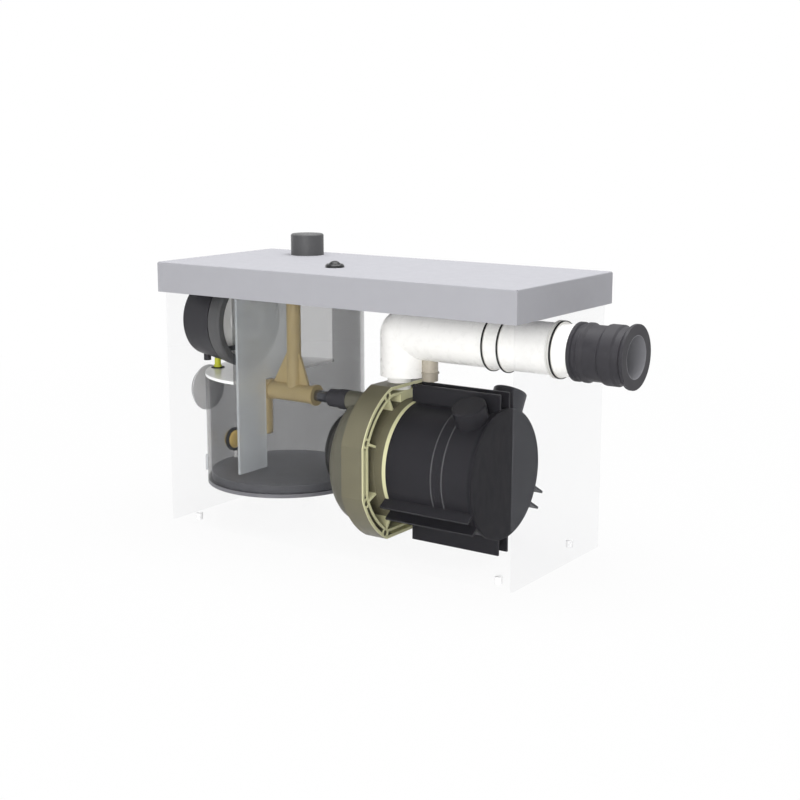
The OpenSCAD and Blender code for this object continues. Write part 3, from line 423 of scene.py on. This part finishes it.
looks = {
    # Tank
    "tank_floor": clear, "tank_sides": clear, "tank_ends": clear_end, "tank_supports": clear,
    "floor_inserts": insert_mat, "lid_seal": seal_mat, "cable_gland": black,
    # Lid
    "lid": lid_mat, "vent_cap": vent_mat, "vent_filter": filter_mat, "button_bezel": black,
    "button_socket": dark, "push_button": black, "button_spring": steel_mat,
    # Chamber
    "chamber_tube": smoke, "chamber_base": base_mat, "base_clips": clip_mat, "cover_plate": white,
    "splash_baffle": baffle_mat, "side_inlet_cap": grey_cap, "side_inlet_seal": seal_mat,
    "port_bush": amber, "port_grommet": ring_mat, "drain_pin": white,
    # Level switch
    "switch_housing": dark, "switch_rim": vent_mat, "switch_diaphragm": white, "switch_contacts": black,
    "pressure_nipple": nipple_mat, "nipple_grommet": ring_mat,
    # Manifold
    "manifold": tan, "steel_tube": tube_mat, "rubber_sleeve": coupling_mat,
    # Pump and motor
    "grinder_housing": drum_mat, "cutter_ring": steel_mat, "pump_housing": volute_mat, "pump_flange": olive,
    "housing_gasket": ring_mat, "flange_screws": screw_mat, "motor_shell": motor_mat,
    "motor_end_cap": cap_mat, "stator": stack_mat, "front_bearing": steel_mat, "rear_bearing": steel_mat,
    "shaft_seal": ring_mat, "motor_shaft": steel_mat, "motor_rotor": stack_mat, "impeller": impeller_mat,
    "cutter_blade": steel_mat, "cutter_nut": steel_mat,
    # Discharge
    "discharge_elbow": elbow_mat, "outlet_pipe": pipe_mat, "pipe_rings": rim_mat, "stub_cap": stub_shade_mat,
    "wall_grommet": grommet_mat, "discharge_coupling": bore_mat, "valve_seat": white,
    "check_flap": seal_mat, "flap_pin": steel_mat,
}
for name, material in looks.items():
    data = nodes[name].data
    data.materials.clear()
    data.materials.append(material)


# Spring under the button

def make_spring():
    """A closed coil of round wire in the CAD spring's own box."""
    low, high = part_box("button_spring")
    centre_x = (low.x + high.x) / 2
    centre_y = (low.y + high.y) / 2
    height = high.z - low.z
    wire = 0.0004
    turns = 4
    steps = 24 * turns
    sides = 10
    coil = (high.x - low.x) / 2 - wire
    bottom = low.z + wire
    rise = height - 2 * wire
    climb = rise / (2 * math.pi * turns)
    bm = bmesh.new()
    rings = []
    for step in range(steps + 1):
        angle = 2 * math.pi * turns * step / steps
        outward = Vector((math.cos(angle), math.sin(angle), 0))
        along = Vector((-math.sin(angle) * coil, math.cos(angle) * coil, climb)).normalized()
        across = along.cross(outward).normalized()
        middle = Vector((centre_x, centre_y, bottom + rise * step / steps)) + outward * coil
        ring = []
        for side in range(sides):
            turn = 2 * math.pi * side / sides
            spoke = math.cos(turn) * outward + math.sin(turn) * across
            ring.append(bm.verts.new(middle + wire * spoke))
        rings.append(ring)
    for first, second in zip(rings, rings[1:]):
        for side in range(sides):
            after = (side + 1) % sides
            bm.faces.new((first[side], first[after], second[after], second[side]))
    bm.faces.new(list(reversed(rings[0])))
    bm.faces.new(rings[-1])
    bmesh.ops.recalc_face_normals(bm, faces=bm.faces)
    mesh = bpy.data.meshes.new("spring_coil")
    bm.to_mesh(mesh)
    bm.free()
    for face in mesh.polygons:
        face.use_smooth = True
    mesh.materials.append(steel_mat)
    spring = bpy.data.objects.new("spring_coil", mesh)
    scene.collection.objects.link(spring)
    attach(spring, "lid")
    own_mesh(spring)
    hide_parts("button_spring")


# Floor, light and camera

def stage_material(name, colour, own_light):
    """A pale surface that shows white to the camera, wholly so from afar, and keeps a soft shadow."""
    m = Nodes(name)
    m.set("Base Color", rgb(colour))
    m.set("Roughness", 0.9)
    m.set("Specular IOR Level", 0.0)
    glow = m.add("ShaderNodeEmission")
    glow.inputs["Strength"].default_value = 1.0
    reach = m.add("ShaderNodeVectorMath", operation="LENGTH")
    m.link(m.coord, reach.inputs[0])
    share = m.span(reach.outputs["Value"], own_light, 1.0, start=0.3, end=1.3)
    mix = m.add("ShaderNodeMixShader")
    m.link(m.both(seen_rays(m.tree), share), mix.inputs["Fac"])
    m.link(m.shader.outputs[0], mix.inputs[1])
    m.link(glow.outputs[0], mix.inputs[2])
    m.link(mix.outputs[0], m.out.inputs["Surface"])
    return m.mat


def make_floor():
    far = 8
    level = -0.0005
    corners = [(-far, -far, level), (far, -far, level), (far, far, level), (-far, far, level)]
    mesh = bpy.data.meshes.new("floor")
    mesh.from_pydata(corners, [], [(0, 1, 2, 3)])
    floor = bpy.data.objects.new("floor", mesh)
    scene.collection.objects.link(floor)
    mesh.materials.append(stage_material("floor_white", (200, 200, 200), own_light=0.93))


def make_world():
    """Half-strength light on the part, and plain white where it is seen."""
    world = bpy.data.worlds.new("studio")
    scene.world = world
    world.use_nodes = True
    tree = world.node_tree
    back = tree.nodes["Background"]
    back.inputs["Color"].default_value = (1, 1, 1, 1)
    level = tree.nodes.new("ShaderNodeMapRange")
    level.inputs["To Min"].default_value = 0.5
    level.inputs["To Max"].default_value = 1.0
    tree.links.new(seen_rays(tree), level.inputs["Value"])
    tree.links.new(level.outputs["Result"], back.inputs["Strength"])


def area_light(name, place, size, power):
    """A rectangular lamp, its power in watts, that faces the middle of the part."""
    part_middle = Vector((0, 0, 0.15))
    data = bpy.data.lights.new(name, "AREA")
    data.shape = "RECTANGLE"
    data.size = size[0]
    data.size_y = size[1]
    data.energy = power
    lamp = bpy.data.objects.new(name, data)
    lamp.location = place
    lamp.rotation_euler = (part_middle - Vector(place)).to_track_quat("-Z", "Y").to_euler()
    scene.collection.objects.link(lamp)


def make_camera():
    """The photo's own viewpoint, solved from the edges of the lid and the tank."""
    forward = Vector((-0.56023, 0.80452, -0.19721))
    data = bpy.data.cameras.new("camera")
    data.lens = 62.81
    data.sensor_width = 36
    data.clip_start = 0.01
    camera = bpy.data.objects.new("camera", data)
    camera.location = (0.8259, -1.14605, 0.42598)
    camera.rotation_euler = forward.to_track_quat("-Z", "Y").to_euler()
    scene.collection.objects.link(camera)
    scene.camera = camera


make_spring()
make_floor()
make_world()
area_light("key", (0.85, -2.2, 0.5), size=(1.6, 0.9), power=33)
area_light("rear", (-2.3, 0.9, 0.6), size=(1.6, 1.0), power=10)
area_light("top", (0.2, 0.1, 2.4), size=(2.2, 2.2), power=76)
make_camera()
scene.view_settings.view_transform = "Standard"
scene.cycles.transparent_max_bounces = 32
